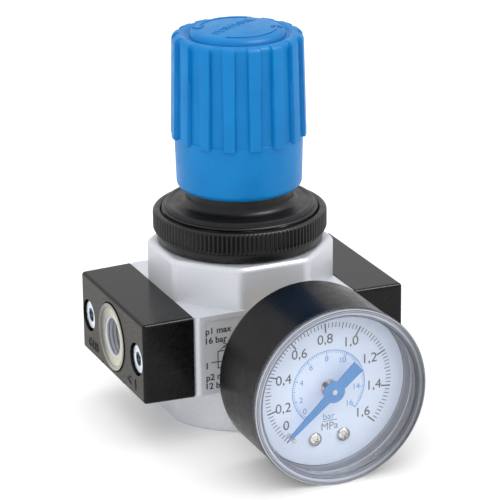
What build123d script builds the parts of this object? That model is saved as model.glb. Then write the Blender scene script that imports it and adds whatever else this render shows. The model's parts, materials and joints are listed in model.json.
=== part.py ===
from build123d import *
import math
import os

# Air pressure regulator with a lockable knob, two connecting plates and a 40 mm gauge.
# Millimetres.  +Z is up along the knob axis, +X is the flow direction, the gauge faces -Y.
# The origin is the centre of the flat base, on the knob axis.

os.makedirs("parts", exist_ok=True)

# ---------------------------------------------------------------- driving dimensions
overall_length = 64.0          # port face to port face
block = 40.0                   # square block and octagon across flats
block_bottom = 11.0            # underside of the square block
block_top = 29.85
body_top = 39.72
port_z = 20.43                 # axis of the ports and of the gauge
low_radius = 21.4              # round foot below the block
foot_fillet = 1.15

bore_fit = 0.05                # radial gap of a thread drawn as a plain cylinder
running = 0.06                 # radial gap of a running fit
clear = 0.3                    # gap between pieces that move past each other

half = block / 2
plate_length = overall_length / 2 - half
plate_width = 39.7             # at the block, tapering to the port face
plate_height = 19.34
plate_taper = 1.17             # degrees of mould draft on each side
face_x = overall_length / 2

port_minor = 4.283             # G1/8 internal thread, minor radius
port_major = 4.864
passage_radius = 4.0           # air passage behind the port
insert_radius = 7.85
insert_seat = 22.0             # inner end of the insert, from the knob axis
insert_proud = 0.33            # height of the insert's lip above the port face
insert_lip = 6.9               # inner radius of the lip
insert_relief = 8.15           # clearance round the lip
insert_relief_depth = 0.6
screw_offset = 15.08           # plate screws, from the port axis
screw_radius = 2.0             # M4
screw_head_radius = 3.5
screw_head_height = 4.0
counterbore_radius = 3.8
counterbore_depth = 4.5
screw_reach = 7.2              # screw thread inside the body
notch_offset = 6.8             # mould notches in the lower edge of a plate's port face
notch_width = 1.2
notch_size = 0.8

chamber_radius = 8.0           # valve chamber
foot_bore_radius = 12.0        # thread of the base plug
foot_bore_top = 8.0
web_bottom = 17.6              # web that carries the valve seat
web_top = 22.6
seat_radius = 5.0
diaphragm_floor = 31.0
diaphragm_seat = 33.0
diaphragm_radius = 16.2
diaphragm_thick = 1.2
bonnet_bottom = 34.6

panel_thread_radius = 17.92    # M36 x 1.5 panel thread
nut_bottom = 40.1
nut_band_top = 42.14
nut_top = 47.27
nut_band_radius = 19.03
nut_radius = 19.93
nut_bore = 18.0
nut_teeth = 120

rim_top = 47.85
shelf_top = 48.9
tower_radius = 12.3            # spring tower inside the knob
spring_bore = 10.3
roof_bottom = 63.5
tower_top = 66.0
lock_teeth = 24
lock_travel = 2.5

knob_bottom = 52.64
skirt_top = 65.4
rib_bottom = 64.7
lip_top = 88.4                 # rounded rim of the knob
cap_top = 90.1                 # domed cap inside the rim
mark_radius = 8.9              # two raised arcs on the cap
mark_turn = 20.0               # degrees from +X to the gap between them
knob_bore = 12.75
ribs = 16
rib_start = 13.8               # degrees from +X to the first rib

spindle_radius = 4.0           # M8 left-hand adjusting thread
journal_radius = 4.5
flange_top = 62.7
hex_bottom = 67.2
hex_top = 81.0
hex_flats = 10.0
carrier_bottom = 57.0
carrier_top = 61.2

case_radius = 20.16
case_back = 33.3               # distances along -Y, from the knob axis
case_front = 53.2
lens_front = 54.6
lens_radius = 20.4
case_bore = 18.9
dial_face = 47.36
dial_radius = 18.6
dial_fixings = ((-3.5, -11.9), (3.5, -11.9))   # from the gauge axis
pointer_plane = 50.2
pointer_angle = 221.0          # degrees from +X, seen from the front, at rest
gear_module = 0.3
pinion_teeth = 12
sector_teeth = 60
gear_centres = gear_module * (pinion_teeth + sector_teeth) / 2 + 0.04
gear_plane = 43.0


# ---------------------------------------------------------------- shared helpers
def finish(piece, name):
    """Label one finished piece and write its STEP file."""
    piece.part.label = name
    export_step(piece.part, f"parts/{name}.step")


def side_plane(side, distance):
    """Plane on the inlet (-1) or outlet (+1) side, facing outwards, centred on the port axis."""
    return Plane(origin=(side * distance, 0, port_z), x_dir=(0, side, 0), z_dir=(side, 0, 0))


def front_plane(distance):
    """Plane in front of the knob axis, facing -Y, centred on the gauge axis."""
    return Plane(origin=(0, -distance, port_z), x_dir=(1, 0, 0), z_dir=(0, -1, 0))


def rear_plane(distance):
    """Plane behind the knob axis, facing +Y, centred on the gauge axis."""
    return Plane(origin=(0, distance, port_z), x_dir=(-1, 0, 0), z_dir=(0, 1, 0))


def turned(points):
    """Solid of revolution about the knob axis from (radius, z) points."""
    with BuildPart() as piece:
        with BuildSketch(Plane.XZ):
            with BuildLine():
                Polyline(points, close=True)
            make_face()
        revolve(axis=Axis.Z)
    return piece


def disc(plane, radius, height, hole=0.0):
    """Round washer or pin on a plane."""
    with BuildPart() as piece:
        with BuildSketch(plane):
            Circle(radius)
            if hole > 0:
                Circle(hole, mode=Mode.SUBTRACT)
        extrude(amount=height)
    return piece


def o_ring(plane, radius, cord):
    """O-ring lying in a plane; radius is to the middle of its cord."""
    with BuildPart() as piece:
        with Locations(plane):
            Torus(radius, cord)
    return piece


def coil_spring(bottom, top, radius, wire, turns):
    """Round-wire compression spring about the knob axis."""
    height = top - bottom - 2 * wire
    with BuildPart() as piece:
        with BuildLine() as centre:
            Helix(pitch=height / turns, height=height, radius=radius, center=(0, 0, bottom + wire))
        with BuildSketch(Plane(origin=centre.line @ 0, z_dir=centre.line % 0)):
            Circle(wire)
        sweep(is_frenet=True)
    return piece


def gear_outline(teeth, count, start, backlash):
    """Closed point list of a gear whose first count teeth are cut, from start degrees onwards."""
    pitch_radius = gear_module * teeth / 2
    base_radius = pitch_radius * math.cos(math.radians(20))
    tip_radius = pitch_radius + 0.85 * gear_module
    root_radius = pitch_radius - 1.2 * gear_module
    half_tooth = math.pi / (2 * teeth) - backlash / (2 * pitch_radius)
    pressure = math.tan(math.radians(20)) - math.radians(20)

    def flank(radius):
        """Half the tooth's angle at a radius, on an involute flank."""
        roll = math.acos(min(1.0, base_radius / max(radius, base_radius)))
        return half_tooth + pressure - (math.tan(roll) - roll)

    radii = [root_radius, base_radius if base_radius > root_radius else root_radius + 0.05]
    steps = 3
    radii += [radii[1] + (tip_radius - radii[1]) * (i + 1) / steps for i in range(steps)]
    points = []
    for tooth in range(count):
        middle = math.radians(start) + tooth * 2 * math.pi / teeth
        for radius in radii:
            angle = middle - flank(radius)
            points.append((radius * math.cos(angle), radius * math.sin(angle)))
        for radius in reversed(radii):
            angle = middle + flank(radius)
            points.append((radius * math.cos(angle), radius * math.sin(angle)))
    return points


# ---------------------------------------------------------------- die-cast body
with BuildPart() as body:
    # round foot with four flats, level with the block's faces
    with BuildSketch():
        Circle(low_radius)
        Rectangle(block, block, mode=Mode.INTERSECT)
    extrude(amount=block_bottom)
    fillet(body.faces().sort_by(Axis.Z)[0].outer_wire().edges(), foot_fillet)
    # square block
    with BuildSketch(Plane.XY.offset(block_bottom)) as block_plan:
        RectangleRounded(block, block, 1.8)
    extrude(amount=block_top - block_bottom)
    # octagonal top with soft corners
    with BuildSketch(Plane.XY.offset(block_top)) as crown_plan:
        RegularPolygon(half, 8, major_radius=False, rotation=22.5)
        fillet(crown_plan.vertices(), 4.0)
    extrude(amount=body_top - block_top)
    fillet(body.faces().sort_by(Axis.Z)[-1].outer_wire().edges(), 1.2)
    # shallow panel on the front face
    with BuildSketch(front_plane(half)):
        with Locations((0, (block_bottom + block_top) / 2 - port_z)):
            RectangleRounded(34.6, block_top - block_bottom - 2.4, 0.8)
    extrude(amount=-0.2, mode=Mode.SUBTRACT)
    # stepped bore along the knob axis: base plug, valve chamber, seat, diaphragm, bonnet thread
    bore_steps = (
        (0, foot_bore_top, foot_bore_radius),
        (foot_bore_top, web_bottom, chamber_radius),
        (web_bottom, web_top, seat_radius),
        (web_top, diaphragm_floor, chamber_radius),
        (diaphragm_floor, diaphragm_seat, 14.0),
        (diaphragm_seat, body_top, 16.4 + bore_fit),
    )
    for low, high, radius in bore_steps:
        with BuildSketch(Plane.XY.offset(low)):
            Circle(radius)
        extrude(amount=high - low, mode=Mode.SUBTRACT)
    # inlet and outlet passages and the screw holes of the plates
    for side in (-1, 1):
        with BuildSketch(side_plane(side, half)):
            Circle(passage_radius)
        extrude(amount=-9.0, mode=Mode.SUBTRACT)
        with BuildSketch(side_plane(side, half)):
            with GridLocations(2 * screw_offset, 0, 2, 1):
                Circle(screw_radius + bore_fit)
        extrude(amount=-8.0, mode=Mode.SUBTRACT)
        slot_low = 12.5 if side < 0 else web_top + 0.4
        slot_high = web_bottom - 0.4 if side < 0 else 28.0
        with Locations((side * 10.2, 0, (slot_low + slot_high) / 2)):
            Box(7.4, 5.0, slot_high - slot_low, mode=Mode.SUBTRACT)
    # gauge ports on the front and the back, each with a drilled way into the outlet chamber
    for plane in (front_plane(half), rear_plane(half)):
        with BuildSketch(plane):
            Circle(port_major + bore_fit)
        extrude(amount=-8.5, mode=Mode.SUBTRACT)
        with BuildSketch(plane):
            with Locations((0, 3.6)):
                Circle(1.2)
        extrude(amount=-13.5, mode=Mode.SUBTRACT)
finish(body, "body")

# ---------------------------------------------------------------- base plug and valve
with BuildPart() as base_plug:
    with BuildSketch(Plane.XZ):
        with BuildLine():
            Polyline(
                (0, 0), (11.5, 0), (11.95, 0.45), (11.95, 4.2), (10.3, 4.2), (10.3, 6.0),
                (11.95, 6.0), (11.95, 8.0), (3.3, 8.0), (3.3, 10.5), (0, 10.5), close=True,
            )
        make_face()
    revolve(axis=Axis.Z)
    # two holes for a pin spanner
    with BuildSketch():
        with PolarLocations(7.5, 2):
            Circle(1.5)
    extrude(amount=2.5, mode=Mode.SUBTRACT)
    with BuildSketch(Plane.XY.offset(10.5)):
        Circle(2.5 + running)
    extrude(amount=-7.0, mode=Mode.SUBTRACT)
finish(base_plug, "base_plug")

base_plug_seal = o_ring(Plane.XY.offset(5.1), 11.1, 0.8)
finish(base_plug_seal, "base_plug_seal")

valve_seat = turned([
    (3.0, 17.2), (3.6, 17.2), (4.2, web_bottom), (seat_radius, web_bottom),
    (seat_radius, web_top), (3.0, web_top),
])
finish(valve_seat, "valve_seat")

poppet_head_bottom = 13.2
valve_poppet = turned([
    (0, 5.0), (2.1, 5.0), (2.5, 5.4), (2.5, poppet_head_bottom), (5.2, poppet_head_bottom),
    (5.6, 13.6), (5.6, 16.0), (1.5, 16.0), (1.5, 30.8), (0.9, 31.88), (0, 31.88),
])
finish(valve_poppet, "valve_poppet")

poppet_seal = turned([(1.5, 16.0), (5.2, 16.0), (5.2, 17.15), (1.5, 17.15)])
finish(poppet_seal, "poppet_seal")

valve_spring = coil_spring(foot_bore_top, poppet_head_bottom, 4.1, 0.35, 4.5)
finish(valve_spring, "valve_spring")

# ---------------------------------------------------------------- diaphragm group
diaphragm_top = diaphragm_seat + diaphragm_thick
with BuildPart() as diaphragm:
    with BuildSketch(Plane.XZ):
        with BuildLine():
            Polyline((3.0, diaphragm_seat), (10.0, diaphragm_seat))
            ThreePointArc((10.0, diaphragm_seat), (11.8, diaphragm_seat + 1.0), (13.6, diaphragm_seat))
            Polyline(
                (13.6, diaphragm_seat), (diaphragm_radius, diaphragm_seat),
                (diaphragm_radius, diaphragm_top), (13.4, diaphragm_top),
            )
            ThreePointArc((13.4, diaphragm_top), (11.8, diaphragm_top + 0.9), (10.2, diaphragm_top))
            Polyline((10.2, diaphragm_top), (3.0, diaphragm_top), (3.0, diaphragm_seat))
        make_face()
    revolve(axis=Axis.Z)
finish(diaphragm, "diaphragm")

relief_hub = turned([
    (1.2, 31.9), (7.5, 31.9), (7.5, diaphragm_seat), (3.0, diaphragm_seat),
    (3.0, 37.6), (2.6, 38.0), (1.2, 38.0),
])
finish(relief_hub, "relief_hub")

diaphragm_plate = turned([
    (3.0, diaphragm_top), (9.6, diaphragm_top), (9.6, 35.4), (6.7, 35.4), (6.4, 37.2),
    (3.0, 37.2),
])
finish(diaphragm_plate, "diaphragm_plate")

slip_ring = disc(Plane.XY.offset(diaphragm_top), diaphragm_radius, bonnet_bottom - diaphragm_top, 14.0)
finish(slip_ring, "slip_ring")

main_spring = coil_spring(35.4, carrier_bottom, 8.0, 0.9, 6.5)
finish(main_spring, "main_spring")

# ---------------------------------------------------------------- bonnet
with BuildPart() as bonnet:
    with BuildSketch(Plane.XZ):
        with BuildLine():
            Polyline(
                (13.6, bonnet_bottom), (16.4, bonnet_bottom), (16.4, body_top),
                (panel_thread_radius, body_top), (panel_thread_radius, 47.45), (17.5, rim_top),
                (17.1, rim_top), (17.1, 48.6), (16.8, shelf_top), (16.2, shelf_top),
                (13.9, 49.0),
            )
            ThreePointArc((13.9, 49.0), (12.76, 49.46), (tower_radius, 50.6))
            Polyline(
                (tower_radius, 50.6), (tower_radius, tower_top), (journal_radius + running, tower_top),
                (journal_radius + running, roof_bottom), (spring_bore, roof_bottom),
                (spring_bore, 42.0), (13.6, 38.7), (13.6, bonnet_bottom),
            )
        make_face()
    revolve(axis=Axis.Z)
    # lock teeth on the roof
    with BuildSketch(Plane.XY.offset(tower_top)):
        Circle(9.0)
        with PolarLocations(9.4, lock_teeth):
            Rectangle(1.2, 1.0)
        Circle(7.5, mode=Mode.SUBTRACT)
    extrude(amount=2.4)
    # keyways that stop the spring carrier from turning
    with BuildSketch(Plane.XY.offset(44.0)):
        with PolarLocations(10.4, 2):
            Rectangle(2.0, 3.0)
    extrude(amount=roof_bottom - 44.0, mode=Mode.SUBTRACT)
finish(bonnet, "bonnet")

# ---------------------------------------------------------------- knurled panel nut and its washer
panel_washer = disc(Plane.XY.offset(nut_bottom), nut_band_radius, nut_band_top - nut_bottom, nut_bore)
finish(panel_washer, "panel_washer")

with BuildPart() as ring_nut:
    with BuildSketch(Plane.XY.offset(nut_band_top)):
        Circle(nut_radius)
        with PolarLocations(nut_radius, nut_teeth):
            Circle(0.3, mode=Mode.SUBTRACT)
        Circle(nut_bore, mode=Mode.SUBTRACT)
    extrude(amount=nut_top - nut_band_top)
    # bevelled rims
    with BuildSketch(Plane.XZ):
        with BuildLine():
            Polyline(
                (nut_bore, nut_band_top), (nut_radius - 0.25, nut_band_top),
                (nut_radius, nut_band_top + 0.25), (nut_radius, nut_top - 0.55),
                (nut_radius - 0.5, nut_top), (nut_bore + 0.3, nut_top), (nut_bore, nut_top - 0.3),
                close=True,
            )
        make_face()
    revolve(axis=Axis.Z, mode=Mode.INTERSECT)
finish(ring_nut, "ring_nut")

# ---------------------------------------------------------------- spindle and carrier
with BuildPart() as spindle:
    with BuildSketch(Plane.XZ):
        with BuildLine():
            Polyline(
                (0, 47.5), (3.4, 47.5), (spindle_radius, 48.1), (spindle_radius, 61.5), (7.0, 61.5),
                (7.0, flange_top), (journal_radius, flange_top), (journal_radius, 66.05),
                (3.9, 66.05), (3.9, 66.95), (journal_radius, 66.95), (journal_radius, hex_bottom),
                (0, hex_bottom), close=True,
            )
        make_face()
    revolve(axis=Axis.Z)
    with BuildSketch(Plane.XY.offset(hex_bottom)):
        RegularPolygon(hex_flats / 2, 6, major_radius=False)
    extrude(amount=hex_top - hex_bottom)
    chamfer(spindle.faces().sort_by(Axis.Z)[-1].edges(), 0.5)
finish(spindle, "spindle")

thrust_washer = disc(Plane.XY.offset(flange_top), 7.5, roof_bottom - flange_top, journal_radius + clear)
finish(thrust_washer, "thrust_washer")

with BuildPart() as spindle_clip:
    with BuildSketch(Plane.XY.offset(66.1)):
        Circle(6.2)
        Circle(3.92, mode=Mode.SUBTRACT)
        with Locations((5.2, 0)):
            Rectangle(4.0, 4.4, mode=Mode.SUBTRACT)
    extrude(amount=0.8)
finish(spindle_clip, "spindle_clip")

with BuildPart() as spring_carrier:
    with BuildSketch(Plane.XY.offset(carrier_bottom)):
        Circle(10.0)
        with PolarLocations(10.1, 2):
            Rectangle(2.0, 2.4)
    extrude(amount=carrier_top - carrier_bottom)
    with BuildSketch(Plane.XY.offset(carrier_bottom)):
        Circle(6.7)
    extrude(amount=-2.2)
    with BuildSketch(Plane.XY.offset(carrier_top)):
        Circle(spindle_radius + bore_fit)
    extrude(amount=-10.0, mode=Mode.SUBTRACT)
finish(spring_carrier, "spring_carrier")

# ---------------------------------------------------------------- knob
# one groove of the grip, between two ribs
rib_pitch = 360 / ribs
with BuildPart() as groove:
    for level, floor_radius, rib_width in ((skirt_top, 14.35, 3.0), (86.6, 13.85, 2.8)):
        with BuildSketch(Plane.XY.offset(level)):
            with Locations((16.0, 0)):
                Rectangle(6.0, 5.0)
            Circle(floor_radius, mode=Mode.SUBTRACT)
            for turn in (-rib_pitch / 2, rib_pitch / 2):
                with Locations(Location((0, 0, 0), (0, 0, turn))):
                    with Locations((15.5, 0)):
                        Rectangle(12.0, rib_width, mode=Mode.SUBTRACT)
    loft()

with BuildPart() as knob:
    # shell: skirt, grip, rounded lip and a domed cap with a groove round it
    with BuildSketch(Plane.XZ):
        with BuildLine():
            Polyline((knob_bore, knob_bottom), (13.0, knob_bottom))
            ThreePointArc((13.0, knob_bottom), (13.98, 53.1), (14.3, 54.3))
            Polyline((14.3, 54.3), (14.62, rib_bottom), (15.1, rib_bottom))
            ThreePointArc((15.1, rib_bottom), (15.31, 64.79), (15.4, 65.0))
            Polyline((15.4, 65.0), (14.9, 86.5))
            ThreePointArc((14.9, 86.5), (14.42, 87.84), (13.5, lip_top))
            Polyline(
                (13.5, lip_top), (12.9, lip_top), (11.9, 88.05), (11.45, 87.65), (11.0, 87.65),
            )
            ThreePointArc((11.0, 87.65), (10.5, 88.8), (9.3, 89.4))
            ThreePointArc((9.3, 89.4), (5.0, 89.9), (0, cap_top))
            Polyline((0, cap_top), (0, 84.0), (knob_bore, 84.0), (knob_bore, knob_bottom))
        make_face()
    revolve(axis=Axis.Z)
    # grooves that leave the ribs of the grip
    with PolarLocations(0, ribs, start_angle=rib_start + rib_pitch / 2):
        add(groove.part, mode=Mode.SUBTRACT)
    # raised arcs on the cap
    with BuildSketch(Plane.XY.offset(89.0)):
        Circle(mark_radius + 0.3)
        Circle(mark_radius - 0.3, mode=Mode.SUBTRACT)
        with Locations(Location((0, 0, 0), (0, 0, mark_turn))):
            Rectangle(2 * mark_radius + 2, 7.0, mode=Mode.SUBTRACT)
    extrude(amount=0.75)
    # column with the hexagon socket for the spindle
    with BuildSketch(Plane.XY.offset(70.5)):
        Circle(6.9)
        RegularPolygon(hex_flats / 2 + 0.1, 6, major_radius=False, mode=Mode.SUBTRACT)
    extrude(amount=84.0 - 70.5)
finish(knob, "knob")

with BuildPart() as lock_ring:
    with BuildSketch(Plane.XY.offset(68.9)):
        Circle(knob_bore)
        Circle(10.3, mode=Mode.SUBTRACT)
        with PolarLocations(9.9, lock_teeth, start_angle=180 / lock_teeth):
            Rectangle(1.2, 1.0)
    extrude(amount=2.5)
finish(lock_ring, "lock_ring")


# ---------------------------------------------------------------- connecting plates
def connecting_plate(side):
    """Plate with a port insert pocket, two counterbored screw holes and a seal groove."""
    with BuildPart() as piece:
        with BuildSketch(side_plane(side, half)):
            Rectangle(plate_width, plate_height)
        extrude(amount=plate_length, taper=plate_taper)
        outward = Axis((0, 0, 0), (side, 0, 0))
        outer_edges = piece.faces().sort_by(outward)[-1].edges()
        long_edges = piece.edges().filter_by(lambda edge: abs(edge.tangent_at(0.5).X) > 0.9)
        fillet(outer_edges + long_edges, 0.8)
        with BuildSketch(side_plane(side, face_x)):
            Circle(insert_radius)
        extrude(amount=insert_seat - face_x, mode=Mode.SUBTRACT)
        with BuildSketch(side_plane(side, face_x)):
            Circle(insert_relief)
        extrude(amount=-insert_relief_depth, mode=Mode.SUBTRACT)
        with BuildSketch(side_plane(side, face_x)):
            Circle(passage_radius)
            with GridLocations(2 * screw_offset, 0, 2, 1):
                Circle(screw_radius + 0.25)
        extrude(amount=-plate_length, mode=Mode.SUBTRACT)
        with BuildSketch(side_plane(side, face_x)):
            with GridLocations(2 * screw_offset, 0, 2, 1):
                Circle(counterbore_radius)
        extrude(amount=-counterbore_depth, mode=Mode.SUBTRACT)
        with BuildSketch(side_plane(side, half)):
            Circle(7.2)
            Circle(5.4, mode=Mode.SUBTRACT)
        extrude(amount=1.3, mode=Mode.SUBTRACT)
        lower_edge = port_z - plate_height / 2
        for offset in (-notch_offset, notch_offset):
            with Locations((side * face_x, offset, lower_edge)):
                Box(2 * notch_size, notch_width, 3 * notch_size, mode=Mode.SUBTRACT)
    return piece


def port_insert(side):
    """Metal insert with the G1/8 port and a thin lip that stands just above the plate's face."""
    lip_top = face_x + insert_proud
    with BuildPart() as piece:
        with BuildSketch(side_plane(side, insert_seat)):
            Circle(insert_radius)
            Circle(port_minor, mode=Mode.SUBTRACT)
        extrude(amount=lip_top - insert_seat)
        with BuildSketch(side_plane(side, lip_top)):
            Circle(insert_lip)
        extrude(amount=-insert_proud, mode=Mode.SUBTRACT)
        outward = Axis((0, 0, 0), (side, 0, 0))
        circles = piece.edges().filter_by(GeomType.CIRCLE)
        bore_edges = circles.filter_by(lambda edge: abs(edge.radius - port_minor) < 0.01)
        chamfer(bore_edges.group_by(outward)[-1], port_major - port_minor)
    return piece


def plate_screws(side):
    """Pair of M4 socket-head screws that hold a plate to the body."""
    head_top = face_x - counterbore_depth + screw_head_height
    with BuildPart() as piece:
        with BuildSketch(side_plane(side, head_top)):
            with GridLocations(2 * screw_offset, 0, 2, 1):
                Circle(screw_head_radius)
        extrude(amount=-screw_head_height)
        outward = Axis((0, 0, 0), (side, 0, 0))
        chamfer(piece.edges().filter_by(GeomType.CIRCLE).group_by(outward)[-1], 0.35)
        with BuildSketch(side_plane(side, head_top)):
            with GridLocations(2 * screw_offset, 0, 2, 1):
                RegularPolygon(1.5, 6, major_radius=False)
        extrude(amount=-2.0, mode=Mode.SUBTRACT)
        with BuildSketch(side_plane(side, head_top - screw_head_height)):
            with GridLocations(2 * screw_offset, 0, 2, 1):
                Circle(screw_radius)
        extrude(amount=half - screw_reach - head_top + screw_head_height)
    return piece


for side, side_name in ((-1, "inlet"), (1, "outlet")):
    finish(connecting_plate(side), f"{side_name}_plate")
    finish(port_insert(side), f"{side_name}_insert")
    finish(plate_screws(side), f"{side_name}_plate_screws")
    finish(o_ring(side_plane(side, half + 0.65), 6.3, 0.65), f"{side_name}_plate_seal")

# ---------------------------------------------------------------- blanking plug at the back
with BuildPart() as rear_plug:
    with BuildSketch(rear_plane(half - 7.0)):
        Circle(port_major)
    extrude(amount=7.9)
    with BuildSketch(rear_plane(half + 0.9)):
        Circle(7.0)
    extrude(amount=2.2)
    chamfer(rear_plug.faces().sort_by(Axis.Y)[-1].edges(), 0.4)
    with BuildSketch(rear_plane(half + 3.1)):
        RegularPolygon(2.5, 6, major_radius=False)
    extrude(amount=-5.0, mode=Mode.SUBTRACT)
finish(rear_plug, "rear_plug")

rear_plug_seal = disc(rear_plane(half), 6.6, 0.9, port_major + bore_fit)
finish(rear_plug_seal, "rear_plug_seal")

# ---------------------------------------------------------------- gauge: socket and shell
gauge_seal = disc(front_plane(half), 6.6, 0.9, port_major + bore_fit)
finish(gauge_seal, "gauge_seal")

with BuildPart() as gauge_socket:
    with BuildSketch(front_plane(half - 7.0)):
        Circle(port_major)
    extrude(amount=7.9)
    with BuildSketch(front_plane(half + 0.9)):
        RegularPolygon(6.0, 6, major_radius=False)
    extrude(amount=6.0)
    with BuildSketch(front_plane(half + 6.9)):
        Circle(5.2)
    extrude(amount=case_back + 1.3 - half - 6.9)
    with BuildSketch(front_plane(case_back + 1.3)):
        with Locations((0, -5.0)):
            Rectangle(8.0, 21.0)
    extrude(amount=6.2)
    with BuildSketch(front_plane(half - 7.0)):
        Circle(1.5)
    extrude(amount=case_back - 6.0, mode=Mode.SUBTRACT)
finish(gauge_socket, "gauge_socket")

with BuildPart() as gauge_case:
    with BuildSketch(front_plane(case_back)):
        Circle(case_radius)
    extrude(amount=case_front - case_back)
    fillet(gauge_case.faces().sort_by(Axis.Y)[-1].edges(), 2.0)
    with BuildSketch(front_plane(case_back + 1.2)):
        Circle(case_bore)
    extrude(amount=case_front - case_back, mode=Mode.SUBTRACT)
    with BuildSketch(front_plane(50.8)):
        Circle(19.5)
    extrude(amount=case_front - 50.8, mode=Mode.SUBTRACT)
    with BuildSketch(front_plane(case_back)):
        Circle(5.25)
    extrude(amount=1.2, mode=Mode.SUBTRACT)
finish(gauge_case, "gauge_case")

with BuildPart() as gauge_lens:
    with BuildSketch(front_plane(case_front)):
        Circle(lens_radius)
    extrude(amount=lens_front - case_front)
    fillet(gauge_lens.faces().sort_by(Axis.Y)[0].edges(), 0.5)
    with BuildSketch(front_plane(lens_front)):
        Circle(19.1)
    extrude(amount=-0.4, mode=Mode.SUBTRACT)
    with BuildSketch(front_plane(case_front)):
        Circle(19.45)
        Circle(18.3, mode=Mode.SUBTRACT)
    extrude(amount=-2.3)
finish(gauge_lens, "gauge_lens")

# ---------------------------------------------------------------- gauge: dial
with BuildPart() as gauge_dial:
    with BuildSketch(front_plane(dial_face - 0.5)):
        Circle(dial_radius)
        Circle(1.9, mode=Mode.SUBTRACT)
        with Locations(dial_fixings):
            Circle(0.9, mode=Mode.SUBTRACT)
    extrude(amount=0.5)
finish(gauge_dial, "gauge_dial")

with BuildPart() as dial_screws:
    with BuildSketch(front_plane(dial_face)):
        with Locations(dial_fixings):
            Circle(1.6)
    extrude(amount=1.1)
    fillet(dial_screws.edges().group_by(Axis.Y)[0], 0.95)
    with BuildSketch(front_plane(dial_face)):
        with Locations(dial_fixings):
            Circle(0.85)
    extrude(amount=-2.0)
finish(dial_screws, "dial_screws")

stop_pin_angle = math.radians(225.2)
with BuildPart() as stop_pin:
    with BuildSketch(front_plane(dial_face)):
        with Locations((13.75 * math.cos(stop_pin_angle), 13.75 * math.sin(stop_pin_angle))):
            Circle(0.5)
    extrude(amount=3.4)
finish(stop_pin, "stop_pin")

# ---------------------------------------------------------------- gauge: pointer and movement
with BuildPart() as pointer:
    with BuildSketch(front_plane(pointer_plane)):
        Circle(2.5)
        with BuildLine(Plane.XY.rotated((0, 0, pointer_angle))):
            Polyline((0, 1.12), (13.5, 0.44), (13.9, 0), (13.5, -0.44), (0, -1.12), (0, 1.12))
        make_face()
        with BuildLine(Plane.XY.rotated((0, 0, pointer_angle + 180))):
            Polyline((0, 1.2), (7.8, 1.5), (7.8, -1.5), (0, -1.2), (0, 1.2))
        make_face()
    extrude(amount=0.4)
    with BuildSketch(front_plane(pointer_plane)):
        Circle(1.1)
    extrude(amount=-0.8)
    with BuildSketch(front_plane(pointer_plane - 0.8)):
        Circle(0.6)
    extrude(amount=2.0, mode=Mode.SUBTRACT)
finish(pointer, "pointer")

pointer_shaft = disc(front_plane(41.2), 0.6, pointer_plane + 0.6 - 41.2)
finish(pointer_shaft, "pointer_shaft")

with BuildPart() as pinion:
    with BuildSketch(front_plane(gear_plane - 0.2)):
        with BuildLine():
            Polyline(gear_outline(pinion_teeth, pinion_teeth, 90 + 180 / pinion_teeth, 0.08), close=True)
        make_face()
        Circle(0.6, mode=Mode.SUBTRACT)
    extrude(amount=1.4)
finish(pinion, "pinion")

sector_pivot = -gear_centres
sector_rest = 63.0             # degrees, middle of the toothed arc at rest
tail_angle = math.radians(273)
tail_length = 4.0
tail_pin = (tail_length * math.cos(tail_angle), tail_length * math.sin(tail_angle))
with BuildPart() as sector_gear:
    with BuildSketch(front_plane(gear_plane)) as sector_plan:
        with BuildLine():
            outline = gear_outline(sector_teeth, 12, 90 - 9 * 6.0, 0.08)
            Polyline([(x, y + sector_pivot) for x, y in outline] + [(0, sector_pivot)], close=True)
        make_face()
        with Locations((0, sector_pivot)):
            Circle(1.8)
        with BuildLine(Plane((0, sector_pivot, 0)).rotated((0, 0, 273))):
            Polyline((0, 1.1), (tail_length, 0.9), (tail_length, -0.9), (0, -1.1), (0, 1.1))
        make_face()
        with Locations((tail_pin[0], tail_pin[1] + sector_pivot)):
            Circle(0.9)
            Circle(0.46, mode=Mode.SUBTRACT)
        with Locations((0, sector_pivot)):
            Circle(0.7, mode=Mode.SUBTRACT)
    extrude(amount=1.0)
finish(sector_gear, "sector_gear")

sector_shaft_plane = Plane(origin=(0, -41.2, port_z + sector_pivot), x_dir=(1, 0, 0), z_dir=(0, -1, 0))
sector_shaft = disc(sector_shaft_plane, 0.7, 4.6)
finish(sector_shaft, "sector_shaft")

tip_angle = -23.0              # degrees, free end of the pressure tube
tube_radius = 14.1
tube_tip = (
    tube_radius * math.cos(math.radians(tip_angle)),
    tube_radius * math.sin(math.radians(tip_angle)),
)
link_start = (tail_pin[0], tail_pin[1] + sector_pivot)
link_length = math.dist(link_start, tube_tip)
link_angle = math.degrees(math.atan2(tube_tip[1] - link_start[1], tube_tip[0] - link_start[0]))
with BuildPart() as link:
    with BuildSketch(front_plane(gear_plane + 1.3)):
        with Locations(Location((*link_start, 0), (0, 0, link_angle))):
            with Locations((link_length / 2, 0)):
                SlotCenterToCenter(link_length, 1.6)
        with Locations(link_start, tube_tip):
            Circle(0.42, mode=Mode.SUBTRACT)
    extrude(amount=0.4)
finish(link, "link")

with BuildPart() as link_pins:
    with BuildSketch(front_plane(gear_plane)):
        with Locations(link_start):
            Circle(0.42)
    extrude(amount=1.85)
    with BuildSketch(front_plane(gear_plane + 0.7)):
        with Locations(tube_tip):
            Circle(0.42)
    extrude(amount=1.15)
finish(link_pins, "link_pins")

with BuildPart() as bourdon_tube:
    with BuildLine(front_plane(38.2)) as tube_line:
        CenterArc((0, 0), tube_radius, tip_angle + 5, 254.5 - tip_angle - 5)
    with BuildSketch(Plane(origin=tube_line.line @ 0, x_dir=(0, 1, 0), z_dir=tube_line.line % 0)):
        Ellipse(2.5, 1.0)
    sweep()
finish(bourdon_tube, "bourdon_tube")

with BuildPart() as tube_cap:
    with BuildSketch(front_plane(35.3)):
        with Locations(Location((*tube_tip, 0), (0, 0, tip_angle))):
            RectangleRounded(3.4, 2.4, 0.3)
    extrude(amount=5.8)
finish(tube_cap, "tube_cap")

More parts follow.
